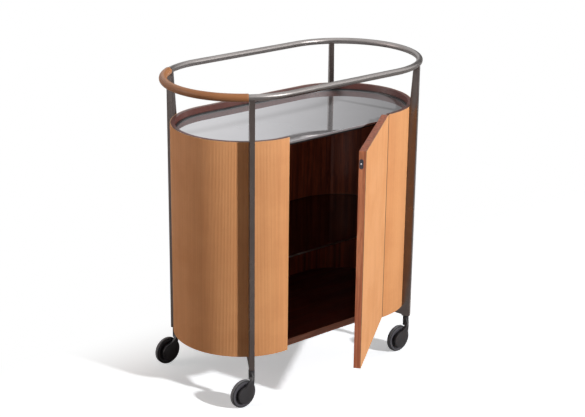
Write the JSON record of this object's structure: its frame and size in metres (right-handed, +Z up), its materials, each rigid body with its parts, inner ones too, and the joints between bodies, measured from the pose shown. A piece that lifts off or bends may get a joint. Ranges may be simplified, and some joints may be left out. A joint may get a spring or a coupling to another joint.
{
  "type": "serving trolley",
  "caption": "Stadium-plan bar trolley: leather-clad cabinet with one hinged door, glass top and shelf, posts carrying a ring handrail with a leather grip, swivel castors.",
  "frame": {"origin": "on the floor, under the centre of the cabinet's plan", "axes": "+X along the cabinet, away from the leather-wrapped end of the handrail; -Y towards the door side; +Z up"},
  "size_m": [0.8139, 0.6321, 0.882],
  "materials": {
    "gunmetal": "satin dark nickel",
    "grip_leather": "smooth saddle leather",
    "saddle_leather": "finely fluted saddle leather",
    "walnut": "oiled walnut, grain upright",
    "black_frame": "satin black",
    "mirror_glass": "grey mirror-backed glass",
    "smoked_glass": "smoked grey",
    "screw_steel": "zinc plated",
    "hinge_bronze": "bronzed",
    "catch_metal": "dark plated",
    "ball_steel": "polished",
    "castor_plastic": "charcoal, fine texture",
    "wheel_plastic": "charcoal",
    "tyre_rubber": "soft black tread"
  },
  "bodies": {
    "cabinet": {"handrail": "gunmetal", "handrail_grip": "grip_leather", "arm_screws": "screw_steel", "wall_screws": "screw_steel", "carcass_shell": "walnut", "leather_cladding": "saddle_leather", "bottom_panel": "walnut", "latch_stile": "walnut", "top_frame": "black_frame", "glass_top": "mirror_glass", "glass_shelf": "smoked_glass", "shelf_pins": "screw_steel", "hinge_leaf_shell": "hinge_bronze", "hinge_pin": "hinge_bronze", "hinge_screws_shell": "hinge_bronze", "strike_plate": "catch_metal", "strike_screws": "screw_steel", "stem_pins": "screw_steel", "stem_collars": "castor_plastic", "post_front_left": "gunmetal", "post_front_right": "gunmetal", "post_rear_left": "gunmetal", "post_rear_right": "gunmetal"},
    "door": {"door_panel": "walnut", "door_leather": "saddle_leather", "hinge_leaf_door": "hinge_bronze", "hinge_screws_door": "hinge_bronze", "catch_body": "catch_metal", "catch_screws": "screw_steel"},
    "catch": {"catch_ball": "ball_steel"},
    "castor_front_left": {"castor_arm_front_left": "castor_plastic", "axle_front_left": "screw_steel", "axle_cap_front_left": "castor_plastic"},
    "wheel_front_left": {"wheel_front_left": "wheel_plastic", "tyre_front_left": "tyre_rubber"},
    "castor_front_right": {"castor_arm_front_right": "castor_plastic", "axle_front_right": "screw_steel", "axle_cap_front_right": "castor_plastic"},
    "wheel_front_right": {"wheel_front_right": "wheel_plastic", "tyre_front_right": "tyre_rubber"},
    "castor_rear_left": {"castor_arm_rear_left": "castor_plastic", "axle_rear_left": "screw_steel", "axle_cap_rear_left": "castor_plastic"},
    "wheel_rear_left": {"wheel_rear_left": "wheel_plastic", "tyre_rear_left": "tyre_rubber"},
    "castor_rear_right": {"castor_arm_rear_right": "castor_plastic", "axle_rear_right": "screw_steel", "axle_cap_rear_right": "castor_plastic"},
    "wheel_rear_right": {"wheel_rear_right": "wheel_plastic", "tyre_rear_right": "tyre_rubber"}
  },
  "joints": [
    {"name": "door_hinge", "type": "hinge", "parent": "cabinet", "child": "door", "pos_m": [0.1772, -0.1948, 0.442], "axis": [0, 0, 1], "range_deg": [-37.5, 67.5]},
    {"name": "catch_slide", "type": "slide", "parent": "door", "child": "catch", "axis": [0.7934, 0.6088, 0], "range_m": [0, 0.0019], "stiffness_N_per_m": 400, "springref_m": -0.002},
    {"name": "castor_swivel_front_left", "type": "hinge", "parent": "cabinet", "child": "castor_front_left", "pos_m": [-0.2921, -0.17825, 0.1], "axis": [0, 0, 1], "continuous": true},
    {"name": "wheel_spin_front_left", "type": "hinge", "parent": "castor_front_left", "child": "wheel_front_left", "pos_m": [-0.3221, -0.17825, 0.04], "axis": [0, 1, 0], "continuous": true},
    {"name": "castor_swivel_front_right", "type": "hinge", "parent": "cabinet", "child": "castor_front_right", "pos_m": [0.2921, -0.17825, 0.1], "axis": [0, 0, 1], "continuous": true},
    {"name": "wheel_spin_front_right", "type": "hinge", "parent": "castor_front_right", "child": "wheel_front_right", "pos_m": [0.2621, -0.17825, 0.04], "axis": [0, 1, 0], "continuous": true},
    {"name": "castor_swivel_rear_left", "type": "hinge", "parent": "cabinet", "child": "castor_rear_left", "pos_m": [-0.2921, 0.17825, 0.1], "axis": [0, 0, 1], "continuous": true},
    {"name": "wheel_spin_rear_left", "type": "hinge", "parent": "castor_rear_left", "child": "wheel_rear_left", "pos_m": [-0.3221, 0.17825, 0.04], "axis": [0, 1, 0], "continuous": true},
    {"name": "castor_swivel_rear_right", "type": "hinge", "parent": "cabinet", "child": "castor_rear_right", "pos_m": [0.2921, 0.17825, 0.1], "axis": [0, 0, 1], "continuous": true},
    {"name": "wheel_spin_rear_right", "type": "hinge", "parent": "castor_rear_right", "child": "wheel_rear_right", "pos_m": [0.2621, 0.17825, 0.04], "axis": [0, 1, 0], "continuous": true}
  ]
}
